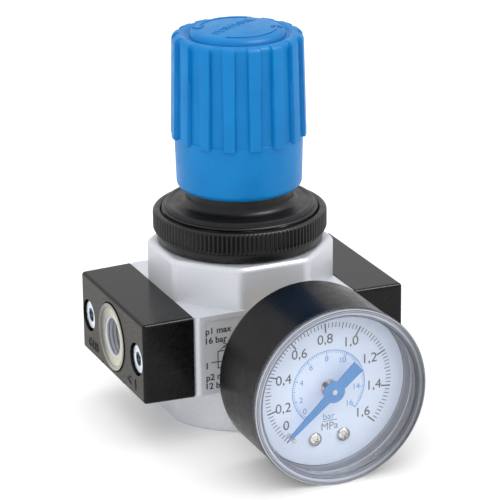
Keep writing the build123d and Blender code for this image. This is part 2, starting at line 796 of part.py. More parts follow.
pillars = ((-3.4, 3.0), (3.4, 3.0), (-3.7, -14.7))


def movement_plate(distance, with_dial_holes):
    """Brass plate that carries the two shafts of the movement."""
    with BuildPart() as piece:
        with BuildSketch(front_plane(distance)):
            with Locations((0, -5.9)):
                RectangleRounded(10.4, 20.6, 1.5)
            Circle(0.6 + running, mode=Mode.SUBTRACT)
            with Locations((0, sector_pivot)):
                Circle(0.7 + running, mode=Mode.SUBTRACT)
            if with_dial_holes:
                with Locations(dial_fixings):
                    Circle(0.9, mode=Mode.SUBTRACT)
        extrude(amount=0.8)
    return piece


finish(movement_plate(40.8, False), "movement_back_plate")
finish(movement_plate(45.0, True), "movement_front_plate")

with BuildPart() as movement_pillars:
    with BuildSketch(front_plane(41.6)):
        with Locations(pillars):
            Circle(0.9)
    extrude(amount=3.4)
finish(movement_pillars, "movement_pillars")

with BuildPart() as movement_screws:
    with BuildSketch(front_plane(45.8)):
        with Locations(pillars):
            Circle(0.9)
    extrude(amount=0.6)
    with BuildSketch(front_plane(46.4)):
        with Locations(pillars):
            Rectangle(1.9, 0.3)
    extrude(amount=-0.3, mode=Mode.SUBTRACT)
finish(movement_screws, "movement_screws")

with BuildPart() as dial_spacers:
    with BuildSketch(front_plane(45.8)):
        with Locations(dial_fixings):
            Circle(1.5)
            Circle(0.9, mode=Mode.SUBTRACT)
    extrude(amount=dial_face - 0.5 - 45.8)
finish(dial_spacers, "dial_spacers")

with BuildPart() as hairspring:
    with BuildSketch(front_plane(41.8)):
        with BuildLine():
            Spline([
                ((0.9 + 0.1 * i) * math.cos(i * 0.9), (0.9 + 0.1 * i) * math.sin(i * 0.9))
                for i in range(24)
            ])
        trace(line_width=0.12)
    extrude(amount=0.4)
finish(hairspring, "hairspring")
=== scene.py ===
import bmesh
import bpy
import json
import math
from mathutils import Matrix, Vector


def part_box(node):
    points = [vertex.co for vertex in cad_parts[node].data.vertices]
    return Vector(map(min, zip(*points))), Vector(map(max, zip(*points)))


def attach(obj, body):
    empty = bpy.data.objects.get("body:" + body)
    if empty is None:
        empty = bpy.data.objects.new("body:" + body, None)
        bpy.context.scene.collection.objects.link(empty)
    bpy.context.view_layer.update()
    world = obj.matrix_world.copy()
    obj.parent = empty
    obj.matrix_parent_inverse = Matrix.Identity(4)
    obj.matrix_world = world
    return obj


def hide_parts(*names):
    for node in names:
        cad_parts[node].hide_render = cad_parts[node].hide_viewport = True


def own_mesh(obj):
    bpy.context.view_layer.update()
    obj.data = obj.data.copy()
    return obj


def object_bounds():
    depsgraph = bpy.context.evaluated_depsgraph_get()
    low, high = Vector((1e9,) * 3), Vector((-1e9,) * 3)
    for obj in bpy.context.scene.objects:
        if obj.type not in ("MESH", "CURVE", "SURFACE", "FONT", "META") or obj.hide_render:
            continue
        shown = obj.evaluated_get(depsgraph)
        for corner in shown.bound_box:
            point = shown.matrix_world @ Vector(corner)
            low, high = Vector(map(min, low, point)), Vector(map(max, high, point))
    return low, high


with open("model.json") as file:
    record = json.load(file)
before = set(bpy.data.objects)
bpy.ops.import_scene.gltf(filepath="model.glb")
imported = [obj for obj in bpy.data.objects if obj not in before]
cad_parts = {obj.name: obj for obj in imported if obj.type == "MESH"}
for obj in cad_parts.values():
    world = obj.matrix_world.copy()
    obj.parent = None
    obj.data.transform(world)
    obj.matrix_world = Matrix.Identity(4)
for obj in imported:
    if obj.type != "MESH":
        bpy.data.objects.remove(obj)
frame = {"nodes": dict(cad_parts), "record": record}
cad_low, cad_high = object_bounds()

MM = 0.001
TAU = 2 * math.pi
TAU_SIXTH = TAU / 6
UPRIGHT = Matrix.Identity(4)
SCREW_OFFSET = 15.08           # plate screws, mm from the port axis
SOCKET_FLATS = 1.5             # half the size across flats of their sockets, mm
INSERT_R = 7.85                # outer radius of a port insert, mm
LENS_R = 20.4                  # outer radius of the lens rim, mm
LENS_PANE_R = 18.2             # radius of the clear pane, mm
CASE_INSIDE_R = 19.2           # radius up to which the gauge case is grey inside, mm

# -------------------- places taken from the frame
knob_low, knob_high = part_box("knob")
nut_low, nut_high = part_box("ring_nut")
washer_low, washer_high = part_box("panel_washer")
body_low, body_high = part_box("body")
lens_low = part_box("gauge_lens")[0]
dial_low, dial_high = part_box("gauge_dial")
case_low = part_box("gauge_case")[0]
insert_low, insert_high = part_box("inlet_insert")
screw_low, screw_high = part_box("inlet_plate_screws")
plate_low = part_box("inlet_plate")[0]

gauge_z = (dial_low.z + dial_high.z) / 2
dial_y = dial_low.y                      # printed face of the dial
port_z = (insert_low.z + insert_high.z) / 2


# -------------------- mesh helpers
def make_piece(name, verts, faces, sharp_angle):
    """Mesh object from vertices in metres, smooth except across sharp edges."""
    mesh = bpy.data.meshes.new(name)
    mesh.from_pydata([tuple(v) for v in verts], [], faces)
    mesh.validate()
    solid = bmesh.new()
    solid.from_mesh(mesh)
    bmesh.ops.recalc_face_normals(solid, faces=solid.faces)
    solid.to_mesh(mesh)
    solid.free()
    mesh.polygons.foreach_set("use_smooth", [True] * len(mesh.polygons))
    mesh.set_sharp_from_angle(angle=math.radians(sharp_angle))
    mesh.update()
    piece = bpy.data.objects.new(name, mesh)
    bpy.context.scene.collection.objects.link(piece)
    return piece


def ring_piece(name, rows, columns, point, sharp_angle):
    """Mesh closed both round its columns and over its rows; point(row, column) gives a vertex in metres."""
    verts = [point(row, column) for row in range(rows) for column in range(columns)]
    faces = []
    for row in range(rows):
        upper = (row + 1) % rows
        for column in range(columns):
            after = (column + 1) % columns
            faces.append((
                row * columns + column, row * columns + after,
                upper * columns + after, upper * columns + column,
            ))
    return make_piece(name, verts, faces, sharp_angle)


def arc_points(centre, radius, start, end, steps):
    """Points of a flat circular arc; angles in degrees."""
    points = []
    for i in range(steps + 1):
        angle = math.radians(start + (end - start) * i / steps)
        points.append((centre[0] + radius * math.cos(angle), centre[1] + radius * math.sin(angle)))
    return points


def polar(radius, angle, height):
    """Point in metres from a radius and a height in mm."""
    return Vector((radius * math.cos(angle), radius * math.sin(angle), height)) * MM


def lathe(name, profile, place, sharp_angle):
    """Closed ring or disc turned from (radius, height) points in mm; place maps local xyz to the frame."""
    columns = 240

    def point(row, column):
        radius, height = profile[row]
        return place @ polar(radius, TAU * column / columns, height)

    return ring_piece(name, len(profile), columns, point, sharp_angle)


def smoothstep(low, high, value):
    """0 below low, 1 above high, smooth between."""
    t = min(1.0, max(0.0, (value - low) / (high - low)))
    return t * t * (3 - 2 * t)


def gauge_place(y):
    """Frame of a plane on the gauge axis: local x is +X, local y is +Z, local z is -Y."""
    return Matrix((
        (1, 0, 0, 0),
        (0, 0, -1, y),
        (0, 1, 0, gauge_z),
        (0, 0, 0, 1),
    ))


def port_place(side, x, y=0.0):
    """Frame of a plane on the port axis, local z pointing out of the port."""
    return Matrix((
        (0, 0, side, side * x),
        (side, 0, 0, y),
        (0, 1, 0, port_z),
        (0, 0, 0, 1),
    ))


# -------------------- material helpers
class Paint:
    """Node material built around one Principled shader, in the piece's own coordinates."""

    def __init__(self, name, color, roughness, metallic=0.0):
        self.material = bpy.data.materials.new(name)
        self.material.use_nodes = True
        self.nodes = self.material.node_tree.nodes
        self.links = self.material.node_tree.links
        self.shader = self.nodes["Principled BSDF"]
        self.output = self.nodes["Material Output"]
        self.shader.inputs["Base Color"].default_value = (*color, 1)
        self.shader.inputs["Roughness"].default_value = roughness
        self.shader.inputs["Metallic"].default_value = metallic
        self.coords = self.nodes.new("ShaderNodeTexCoord").outputs["Object"]
        self.last_bump = None

    def link(self, source, target):
        self.links.new(source, target)

    def math_node(self, kind, operation, first, second=None):
        """One step of scalar or vector arithmetic; the second term is a tuple, a number or a socket."""
        node = self.nodes.new(kind)
        node.operation = operation
        self.link(first, node.inputs[0])
        if isinstance(second, bpy.types.NodeSocket):
            self.link(second, node.inputs[1])
        elif second is not None:
            node.inputs[1].default_value = second
        return node

    def vector(self, operation, first, second=None):
        """One step of vector arithmetic."""
        return self.math_node("ShaderNodeVectorMath", operation, first, second)

    def product(self, first, second):
        """Two values multiplied."""
        return self.math_node("ShaderNodeMath", "MULTIPLY", first, second).outputs[0]

    def mix(self, mask, first, second):
        """The first colour where the mask is 0, the second, a tone or a socket, where it is 1."""
        node = self.nodes.new("ShaderNodeMix")
        node.data_type = "RGBA"
        self.link(mask, node.inputs["Factor"])
        self.link(first, node.inputs[6])
        if isinstance(second, tuple):
            node.inputs[7].default_value = (*second, 1)
        else:
            self.link(second, node.inputs[7])
        return node.outputs[2]

    def noise(self, scale, detail=3.0, rough=0.5, stretch=None):
        """Noise value with features of about 1/scale metres."""
        coords = self.coords
        if stretch:
            mapping = self.nodes.new("ShaderNodeMapping")
            mapping.inputs["Scale"].default_value = stretch
            self.link(coords, mapping.inputs["Vector"])
            coords = mapping.outputs["Vector"]
        texture = self.nodes.new("ShaderNodeTexNoise")
        texture.inputs["Scale"].default_value = scale
        texture.inputs["Detail"].default_value = detail
        texture.inputs["Roughness"].default_value = rough
        self.link(coords, texture.inputs["Vector"])
        return texture.outputs["Fac"]

    def ramp(self, value, stops):
        """Colour ramp over (position, colour) stops."""
        ramp = self.nodes.new("ShaderNodeValToRGB")
        elements = ramp.color_ramp.elements
        while len(elements) < len(stops):
            elements.new(0.5)
        for element, (position, color) in zip(elements, stops):
            element.position = position
            element.color = (*color, 1)
        self.link(value, ramp.inputs["Fac"])
        return ramp.outputs["Color"]

    def scalar(self, value, low_in, high_in, low_out, high_out):
        """Maps a value from one range to another, clamped."""
        node = self.nodes.new("ShaderNodeMapRange")
        node.inputs["From Min"].default_value = low_in
        node.inputs["From Max"].default_value = high_in
        node.inputs["To Min"].default_value = low_out
        node.inputs["To Max"].default_value = high_out
        self.link(value, node.inputs["Value"])
        return node.outputs["Result"]

    def color(self, value, low, high, spread=(0.3, 0.7)):
        """Base colour that drifts between two tones."""
        self.link(self.ramp(value, ((spread[0], low), (spread[1], high))), self.shader.inputs["Base Color"])

    def roughness(self, value, low, high):
        """Roughness that drifts between two values."""
        self.link(self.scalar(value, 0.3, 0.7, low, high), self.shader.inputs["Roughness"])

    def bump(self, value, distance, strength=1.0):
        """Adds one layer of relief, distance in metres."""
        node = self.nodes.new("ShaderNodeBump")
        node.inputs["Distance"].default_value = distance
        node.inputs["Strength"].default_value = strength
        self.link(value, node.inputs["Height"])
        if self.last_bump:
            self.link(self.last_bump, node.inputs["Normal"])
        self.link(node.outputs["Normal"], self.shader.inputs["Normal"])
        self.last_bump = node.outputs["Normal"]

    def axis_distance(self, axis, centre, mirrored=False):
        """Distance in metres from an axis through centre; mirrored treats both halves alike."""
        coords = self.vector("ABSOLUTE", self.coords).outputs[0] if mirrored else self.coords
        offset = self.vector("SUBTRACT", coords, centre)
        across = tuple(0.0 if i == axis else 1.0 for i in range(3))
        flat = self.vector("MULTIPLY", offset.outputs[0], across)
        return self.vector("LENGTH", flat.outputs[0]).outputs["Value"]

    def lathe_marks(self, axis, centre, spacing):
        """Fine turning rings about an axis through centre; the value is 0 to 1."""
        scaled = self.product(self.axis_distance(axis, centre), TAU / spacing)
        wave = self.math_node("ShaderNodeMath", "SINE", scaled)
        return self.scalar(wave.outputs[0], -1, 1, 0, 1)

    def recolor(self, mask, color):
        """Another base colour, a tone or a socket, where the mask is 1."""
        base = self.shader.inputs["Base Color"]
        self.link(self.mix(mask, base.links[0].from_socket, color), base)

    def component(self, letter):
        """One coordinate of the piece, in metres."""
        split = self.nodes.new("ShaderNodeSeparateXYZ")
        self.link(self.coords, split.inputs[0])
        return split.outputs[letter]


def moulded_plastic(name, low, high, rough, grain, shine=0.3):
    """Moulded plastic: faint colour drift, spark-eroded grain and soft sheen."""
    paint = Paint(name, high, rough)
    paint.shader.inputs["Specular IOR Level"].default_value = shine
    drift = paint.noise(90, 4)
    paint.color(drift, low, high)
    paint.roughness(paint.noise(400, 3), rough - 0.05, rough + 0.07)
    paint.bump(paint.noise(2600, 2), grain)
    paint.bump(paint.noise(160, 2), grain * 1.5, 0.5)
    return paint


def turned_metal(name, low, high, rough, axis=2, centre=(0, 0, 0), spacing=0.00012):
    """Machined metal with turning rings, smudges and a little colour drift."""
    paint = Paint(name, high, rough, 1.0)
    paint.color(paint.noise(500, 4), low, high)
    paint.roughness(paint.noise(900, 4, 0.6), rough - 0.08, rough + 0.12)
    paint.bump(paint.lathe_marks(axis, centre, spacing), 0.000004)
    paint.bump(paint.noise(3000, 2), 0.000004)
    return paint


def drawn_metal(name, low, high, rough):
    """Drawn or stamped metal with fine streaks."""
    paint = Paint(name, high, rough, 1.0)
    paint.color(paint.noise(300, 4), low, high)
    paint.roughness(paint.noise(700, 5, 0.6, (1, 1, 0.1)), rough - 0.06, rough + 0.14)
    paint.bump(paint.noise(2500, 3, 0.6, (1, 1, 0.15)), 0.000005)
    return paint


def make_body_paint():
    """Light grey metallic paint over a die casting: flake, orange peel and a slightly uneven tone."""
    paint = Paint("body_paint", (0.63, 0.65, 0.69), 0.42, 0.3)
    flake = paint.noise(5200, 2, 0.7)
    paint.color(flake, (0.56, 0.575, 0.615), (0.69, 0.71, 0.755), (0.35, 0.65))
    paint.roughness(paint.noise(1400, 3), 0.36, 0.48)
    paint.bump(paint.noise(900, 2), 0.000012)
    paint.bump(paint.noise(170, 2), 0.00003, 0.5)
    return paint


def make_plate_paint():
    """Glossy black paint on a casting; the port faces are rough and greyer than the rest."""
    face_from, face_full = 0.90, 0.98          # how far a face points along the port axis
    paint = Paint("plate_paint", (0.006, 0.006, 0.007), 0.42)
    paint.shader.inputs["Specular IOR Level"].default_value = 0.17
    normal = paint.nodes.new("ShaderNodeTexCoord").outputs["Normal"]
    split = paint.nodes.new("ShaderNodeSeparateXYZ")
    paint.link(normal, split.inputs[0])
    size = paint.math_node("ShaderNodeMath", "ABSOLUTE", split.outputs["X"])
    face = paint.scalar(size.outputs[0], face_from, face_full, 0, 1)
    speckle = paint.noise(2600, 4, 0.65)
    grey = paint.ramp(speckle, ((0.30, (0.025, 0.024, 0.022)), (0.72, (0.13, 0.125, 0.115))))
    drift = paint.noise(700, 3)
    black = paint.ramp(drift, ((0.3, (0.003, 0.003, 0.0035)), (0.7, (0.007, 0.007, 0.0075))))
    paint.link(paint.mix(face, black, grey), paint.shader.inputs["Base Color"])
    paint.link(paint.scalar(face, 0, 1, 0.22, 0.62), paint.shader.inputs["Roughness"])
    paint.bump(paint.product(speckle, paint.scalar(face, 0, 1, 0.12, 1.0)), 0.00007)
    return paint


def make_lens():
    """Clear polycarbonate; its rim is a diffuse layer painted with light and dark rings of reflection, and
    painted shade darkens it on one side.
    """
    paint = Paint("clear_lens", (1, 1, 1), 0.02)
    paint.shader.inputs["Transmission Weight"].default_value = 1.0
    paint.shader.inputs["IOR"].default_value = 1.49
    paint.bump(paint.noise(120, 2), 0.000004)
    reach = paint.axis_distance(1, (0, 0, gauge_z))
    # the rim's diffuse layer carries painted reflections and painted shade
    painted_rim_shader = paint.nodes.new("ShaderNodeBsdfDiffuse")
    # painted reflections: light and dark rings across the rim
    rings = (
        (0.00, (0.42, 0.45, 0.54)), (0.21, (0.30, 0.32, 0.38)), (0.27, (0.10, 0.10, 0.13)),
        (0.33, (0.66, 0.70, 0.80)), (0.52, (0.58, 0.62, 0.72)), (0.58, (0.20, 0.21, 0.25)),
        (0.66, (0.55, 0.58, 0.68)), (0.78, (0.14, 0.14, 0.17)), (0.86, (0.92, 0.93, 0.98)),
        (0.92, (0.30, 0.31, 0.35)), (0.98, (0.05, 0.05, 0.06)),
    )
    # painted shade: the rim turns dark toward one side
    lean = paint.vector("DOT_PRODUCT", paint.coords, (0.97, 0, -0.25))
    shaded_side = paint.scalar(lean.outputs["Value"], 0.001, 0.013, 0, 0.65)
    across_rim = paint.scalar(reach, LENS_PANE_R * MM, LENS_R * MM, 0, 1)
    painted_rim_tone = paint.mix(shaded_side, paint.ramp(across_rim, rings), (0.05, 0.052, 0.06))
    paint.link(painted_rim_tone, painted_rim_shader.inputs["Color"])
    rim = paint.nodes.new("ShaderNodeMixShader")
    paint.link(paint.scalar(reach, 0.0183, 0.0187, 0, 0.62), rim.inputs["Fac"])
    paint.link(paint.shader.outputs["BSDF"], rim.inputs[1])
    paint.link(painted_rim_shader.outputs["BSDF"], rim.inputs[2])
    clear = paint.nodes.new("ShaderNodeBsdfTransparent")
    path = paint.nodes.new("ShaderNodeLightPath")
    mix = paint.nodes.new("ShaderNodeMixShader")
    paint.link(path.outputs["Is Shadow Ray"], mix.inputs["Fac"])
    paint.link(rim.outputs[0], mix.inputs[1])
    paint.link(clear.outputs["BSDF"], mix.inputs[2])
    paint.link(mix.outputs[0], paint.output.inputs["Surface"])
    return paint


def make_case_black():
    """Black case; in front of the dial its inside is grey, with painted reflections as light and dark rings
    along its depth.
    """
    black = ((0.003, 0.003, 0.0035), (0.006, 0.006, 0.007))
    paint = moulded_plastic("case_black", *black, 0.30, 0.000006, 0.11)
    reach = paint.axis_distance(1, (0, 0, gauge_z))
    depth = paint.component("Y")
    inside = paint.product(
        paint.scalar(reach, CASE_INSIDE_R * MM, (CASE_INSIDE_R + 0.1) * MM, 1, 0),
        paint.scalar(depth, dial_y + 0.0010, dial_y + 0.0012, 1, 0),
    )
    # painted reflections: light and dark rings along the depth of the case's inside
    painted_reflection_bands = (
        (0.00, (0.36, 0.38, 0.44)), (0.10, (0.17, 0.18, 0.22)), (0.34, (0.12, 0.13, 0.16)),
        (0.40, (0.46, 0.48, 0.55)), (0.46, (0.12, 0.13, 0.16)), (0.62, (0.20, 0.22, 0.26)),
        (0.68, (0.55, 0.58, 0.66)), (0.76, (0.14, 0.15, 0.18)),
    )
    paint.recolor(inside, paint.ramp(paint.scalar(depth, dial_y, lens_low.y, 0, 1), painted_reflection_bands))
    return paint


def make_insert_metal():
    """Dulled nickel: beige face with painted shade darkening it toward the rear, grey threads, and painted
    shade, near-black, on the outside of the lip.
    """
    axis = (0, 0, port_z)
    paint = turned_metal("insert_metal", (0.50, 0.48, 0.41), (0.64, 0.62, 0.53), 0.42, 0, axis)
    reach = paint.axis_distance(0, axis)
    # painted shade: darker toward the rear
    paint.recolor(paint.scalar(paint.component("Y"), -0.001, 0.0065, 0, 0.85), (0.13, 0.13, 0.12))
    paint.recolor(paint.scalar(reach, 0.0066, 0.0070, 0, 0.45), (0.16, 0.16, 0.15))
    in_bore = (0.0047, 0.0050)
    paint.recolor(paint.scalar(reach, *in_bore, 1, 0), (0.54, 0.56, 0.59))
    paint.link(paint.scalar(reach, *in_bore, 0.3, 1), paint.shader.inputs["Metallic"])
    # painted shade: the outside of the lip is near-black
    wall = ((INSERT_R - 0.07) * MM, (INSERT_R - 0.03) * MM)
    paint.recolor(paint.scalar(reach, *wall, 0, 1), (0.01, 0.01, 0.01))
    return paint


def make_screw_zinc():
    """Bright zinc plating, with painted shade, blue-grey, inside the hexagon sockets."""
    paint = turned_metal("screw_zinc", (0.62, 0.68, 0.74), (0.78, 0.83, 0.88), 0.30, 0, (0, 0, port_z))
    reach = paint.axis_distance(0, (0, SCREW_OFFSET * MM, port_z), mirrored=True)
    # painted shade: blue-grey inside the hexagon sockets
    socket = paint.scalar(reach, SOCKET_FLATS * MM, (SOCKET_FLATS + 0.12) * MM, 1, 0)
    paint.recolor(socket, (0.26, 0.34, 0.42))
    return paint


def make_dial_enamel():
    """White dial enamel with a bluish tone, a faint painted glow that brightens it, and soft grain."""
    paint = Paint("dial_white", (0.67, 0.745, 0.90), 0.5)
    paint.color(paint.noise(260, 3), (0.65, 0.725, 0.88), (0.69, 0.765, 0.92))
    # painted light: a faint blue glow brightens the dial
    paint.shader.inputs["Emission Color"].default_value = (0.40, 0.70, 1.0, 1)
    paint.shader.inputs["Emission Strength"].default_value = 0.05
    paint.bump(paint.noise(3500, 2), 0.000003)
    return paint


def make_print_ink(name, color):
    """Screen-printed ink with slightly uneven coverage."""
    paint = Paint(name, color, 0.6)
    pale = tuple(min(1.0, c * 1.5 + 0.02) for c in color)
    paint.color(paint.noise(4000, 3), color, pale, (0.35, 0.8))
    return paint


BLACK = ((0.004, 0.004, 0.0045), (0.008, 0.008, 0.009))
BLUE = ((0.001, 0.172, 0.47), (0.002, 0.205, 0.53))
RUBBER = ((0.012, 0.012, 0.012), (0.03, 0.03, 0.03))
POINTER_BLUE = ((0.045, 0.205, 0.50), (0.055, 0.23, 0.55))
WHITE = ((0.70, 0.70, 0.68), (0.78, 0.78, 0.76))
DIAL_STEEL = ((0.38, 0.37, 0.36), (0.70, 0.69, 0.68))
BRASS = ((0.60, 0.43, 0.18), (0.78, 0.60, 0.30))
PAINTS = {
    "body_paint": make_body_paint(),
    "plate_paint": make_plate_paint(),
    "insert_metal": make_insert_metal(),
    "screw_zinc": make_screw_zinc(),
    "black_plastic": moulded_plastic("black_plastic", *BLACK, 0.38, 0.000012),
    "knob_blue": moulded_plastic("knob_blue", *BLUE, 0.40, 0.000010, 0.18),
    "seal_rubber": moulded_plastic("seal_rubber", *RUBBER, 0.6, 0.00001),
    "brass": turned_metal("brass", *BRASS, 0.30, 1, (0, 0, gauge_z)),
    "spring_steel": drawn_metal("spring_steel", (0.36, 0.36, 0.38), (0.52, 0.52, 0.54), 0.3),
    "steel": turned_metal("steel", (0.45, 0.46, 0.48), (0.62, 0.63, 0.65), 0.3),
    "aluminium": turned_metal("aluminium", (0.70, 0.70, 0.71), (0.82, 0.82, 0.83), 0.35),
    "case_black": make_case_black(),
    "clear_lens": make_lens(),
    "dial_white": make_dial_enamel(),
    "pointer_blue": moulded_plastic("pointer_blue", *POINTER_BLUE, 0.45, 0.000003),
    "dial_screw_steel": drawn_metal("dial_screw_steel", *DIAL_STEEL, 0.16),
    "white_plastic": moulded_plastic("white_plastic", *WHITE, 0.5, 0.00001),
    "bronze": drawn_metal("bronze", (0.45, 0.27, 0.12), (0.62, 0.42, 0.20), 0.3),
}
INK_BLACK = make_print_ink("ink_black", (0.025, 0.025, 0.03))
INK_BLUE = make_print_ink("ink_blue", (0.05, 0.25, 0.56))
INK_GREY = make_print_ink("ink_grey", (0.16, 0.16, 0.19))
CAST_BLACK = moulded_plastic("cast_mark_black", (0.003, 0.003, 0.0035), BLACK[1], 0.5, 0.00001, 0.15)

for row in frame["record"]["subparts"]:
    node = frame["nodes"][row["node"]]
    node.data.materials.clear()
    node.data.materials.append(PAINTS[row["material_slot"]].material)


def flatten(node):
    """Gives a soft CAD node a mesh of its own; it is not flattened."""
    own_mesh(frame["nodes"][node])


flatten("main_spring")
flatten("valve_spring")
flatten("diaphragm")


def dress(piece, body, slot, material=None, stands_for=()):
    """Gives a new piece the paint of its slot, or the material given, puts it under its body and hides the
    CAD nodes it stands for.
    """
    piece.data.materials.clear()
    piece.data.materials.append((material or PAINTS[slot]).material)
    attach(piece, body)
    if stands_for:
        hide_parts(*stands_for)


# -------------------- knob
KNOB_RIBS = 16
KNOB_RIB_START = math.radians(13.8)
SKIRT_R = 14.62
KNOB_BORE = 12.75
CAP_RISE = 1.7                 # height of the cap's centre above the lip
LIP_TOP = knob_high.z / MM - CAP_RISE
CAP_EDGE = 9.3                 # radius where the cap turns down into its groove
ROOF = 4.4                     # depth of the knob's roof below the lip
HUB_FOOT = 17.9                # depth of the hub's foot below the lip
RIB_HALF_WIDTH = 1.42
MARK_HALF_WIDTH = 0.24
MARK_SINK = 0.08               # depth of a raised mark's foot below the cap


def knob_rows():
    """Pairs of (radius, height) points in mm: in the grooves and on the ribs, from the inside bottom up."""
    bottom = knob_low.z / MM
    top = LIP_TOP
    ledge = bottom + 12.06
    shared = [(KNOB_BORE, bottom + 12), (KNOB_BORE, bottom + 0.1), (12.85, bottom), (13.0, bottom)]
    shared += arc_points((12.86, bottom + 1.45), 1.45, -80, -6, 8)
    shared += [(14.33 + 0.27 * i / 12, bottom + 1.8 + 9.8 * i / 12) for i in range(13)]
    rows = [(point, point) for point in shared]
    groove = [(SKIRT_R, ledge + 0.25), (SKIRT_R, ledge + 0.5)]
    groove += arc_points((14.52, ledge + 0.56), 0.10, 10, 90, 3)
    groove += [(14.44, ledge + 0.67), (14.36, ledge + 0.76), (14.35, ledge + 1.1)]
    rib = [(SKIRT_R, ledge - 0.12), (14.66, ledge - 0.03), (14.90, ledge), (15.18, ledge + 0.01)]
    rib += arc_points((15.22, ledge + 0.20), 0.19, -75, 0, 4)
    rows += list(zip(groove, rib))
    for i in range(1, 23):
        share = i / 22
        rows.append((
            (14.35 - 0.47 * share, ledge + 1.1 + (top - 2.35 - ledge - 1.1) * share),
            (15.41 - 0.50 * share, ledge + 0.4 + (top - 1.75 - ledge - 0.4) * share),
        ))
    groove_top = [(13.89, top - 2.1), (13.93, top - 1.85), (13.98, top - 1.62)]
    groove_top += arc_points((12.95, top - 1.25), 1.10, -12, 72, 7)
    rib_top = arc_points((13.45, top - 1.52), 1.46, -6, 78, 10)
    rows += list(zip(groove_top, rib_top))
    rows += [((13.1, top - 0.06), (13.5, top))]
    shared = [(r, top + h) for r, h in (
        (12.9, -0.01), (12.4, -0.10), (11.9, -0.33), (11.6, -0.58), (11.4, -0.74), (11.1, -0.76),
        (11.0, -0.72), (10.95, -0.45), (10.85, -0.1), (10.68, 0.22), (10.45, 0.50), (10.1, 0.74), (9.7, 0.90),
    )]
    shared += [(radius, cap_z(radius)) for radius in (CAP_EDGE, 8.4, 7.0, 5.6, 4.2, 2.8, 1.4, 0.02)]
    shared += [(0.02, top - ROOF), (KNOB_BORE, top - ROOF)]
    return rows + [(point, point) for point in shared]


def cap_z(radius):
    """Height in mm of the domed cap at a radius."""
    return LIP_TOP + CAP_RISE - 0.12 - 0.58 * (radius / CAP_EDGE) ** 2


def build_knob():
    """Ribbed knob with flat ribs, a ledge at the foot of each groove, a rounded lip and a domed cap."""
    rows = knob_rows()
    per_rib = 30
    columns = KNOB_RIBS * per_rib
    pitch = TAU / KNOB_RIBS

    def point(row, column):
        (groove_r, groove_z), (rib_r, rib_z) = rows[row]
        angle = TAU * column / columns + KNOB_RIB_START
        local = (TAU * column / columns + pitch / 2) % pitch - pitch / 2
        across = abs(local) * rib_r
        on_rib = 1 - smoothstep(RIB_HALF_WIDTH - 0.10, RIB_HALF_WIDTH + 0.16, across)
        radius = groove_r + (rib_r - groove_r) * on_rib
        height = groove_z + (rib_z - groove_z) * on_rib
        return polar(radius, angle, height)

    return ring_piece("knob_shell", len(rows), columns, point, 40)


def swept_bar(name, path, half_width, low, rise, place, bevel=0.06):
    """Raised bar along a flat path of (x, y) points; low is its foot's height, a number or a function."""
    verts = []
    faces = []
    count = len(path)
    for i, (x, y) in enumerate(path):
        before = path[max(i - 1, 0)]
        after = path[min(i + 1, count - 1)]
        along = Vector((after[0] - before[0], after[1] - before[1])).normalized()
        side = Vector((-along.y, along.x))
        base = low(x, y) if callable(low) else low
        section = (
            (-half_width, 0), (-half_width, rise - bevel), (-half_width + bevel, rise),
            (half_width - bevel, rise), (half_width, rise - bevel), (half_width, 0),
        )
        for across, up in section:
            local = Vector((x + side.x * across, y + side.y * across, base + up)) * MM
            verts.append(place @ local)
    for i in range(count - 1):
        for j in range(6):
            after = (j + 1) % 6
            faces.append((i * 6 + j, (i + 1) * 6 + j, (i + 1) * 6 + after, i * 6 + after))
    faces.append(tuple(range(5, -1, -1)))
    faces.append(tuple((count - 1) * 6 + j for j in range(6)))
    return make_piece(name, verts, faces, 30)


def mark_foot(x, y):
    """Height in mm of a raised mark's foot on the cap."""
    return cap_z(math.hypot(x, y)) - MARK_SINK


def knob_mark(name, path):
    """Raised mark on the knob's cap."""
    piece = swept_bar(name, path, MARK_HALF_WIDTH, mark_foot, 0.30, UPRIGHT)
    dress(piece, "knob_group", "knob_blue")


def add_text(name, text, size, thickness, place, bold=0.0, anchor=0.5):
    """Flat lettering as a thin solid; anchor is the share of its width left of the place's origin."""
    curve = bpy.data.curves.new(name + "_curve", "FONT")
    curve.body = text
    curve.size = size * MM
    curve.extrude = thickness * MM / 2
    curve.offset = bold * MM
    curve.resolution_u = 6
    source = bpy.data.objects.new(name + "_curve", curve)
    bpy.context.scene.collection.objects.link(source)
    bpy.context.view_layer.update()
    mesh = bpy.data.meshes.new_from_object(source)
    mesh.name = name
    bpy.data.objects.remove(source)
    bpy.data.curves.remove(curve)
    xs = [v.co.x for v in mesh.vertices]
    ys = [v.co.y for v in mesh.vertices]
    left = min(xs) + anchor * (max(xs) - min(xs))
    origin = Vector((left, (min(ys) + max(ys)) / 2, -thickness * MM / 2))
    for vertex in mesh.vertices:
        vertex.co = place @ (vertex.co - origin)
    mesh.materials.clear()
    piece = bpy.data.objects.new(name, mesh)
    bpy.context.scene.collection.objects.link(piece)
    return piece


def build_knob_marks():
    """Two curved turning arrows round the cap and a generic word between them."""
    for number, (start, end) in enumerate(((-130, -14), (52, 162))):
        arc = arc_points((0, 0), 8.7, start, end, 48)
        knob_mark(f"knob_arrow_{number}", arc)
        tip = Vector(arc[-1])
        way = (tip - Vector(arc[-2])).normalized()
        for label, spread in (("inner", 145), ("outer", -145)):
            barb = Matrix.Rotation(math.radians(spread), 2) @ way
            reach = [tuple(tip + barb * length) for length in (0, 1.0, 2.0)]
            knob_mark(f"knob_arrow_{number}_{label}", reach)
    place = Matrix.Translation((-0.7 * MM, 0.4 * MM, 0)) @ Matrix.Rotation(math.radians(31), 4, "Z")
    word = add_text("knob_word", "PUSH LOCK", 2.7, 0.2, place)
    for vertex in word.data.vertices:
        vertex.co.z += mark_foot(vertex.co.x / MM, vertex.co.y / MM) * MM
    dress(word, "knob_group", "knob_blue")


def hexagon_radius(angle, flats):
    """Distance to the edge of a hexagon, half the size across flats given."""
    return flats / math.cos((angle + TAU_SIXTH / 2) % TAU_SIXTH - TAU_SIXTH / 2)


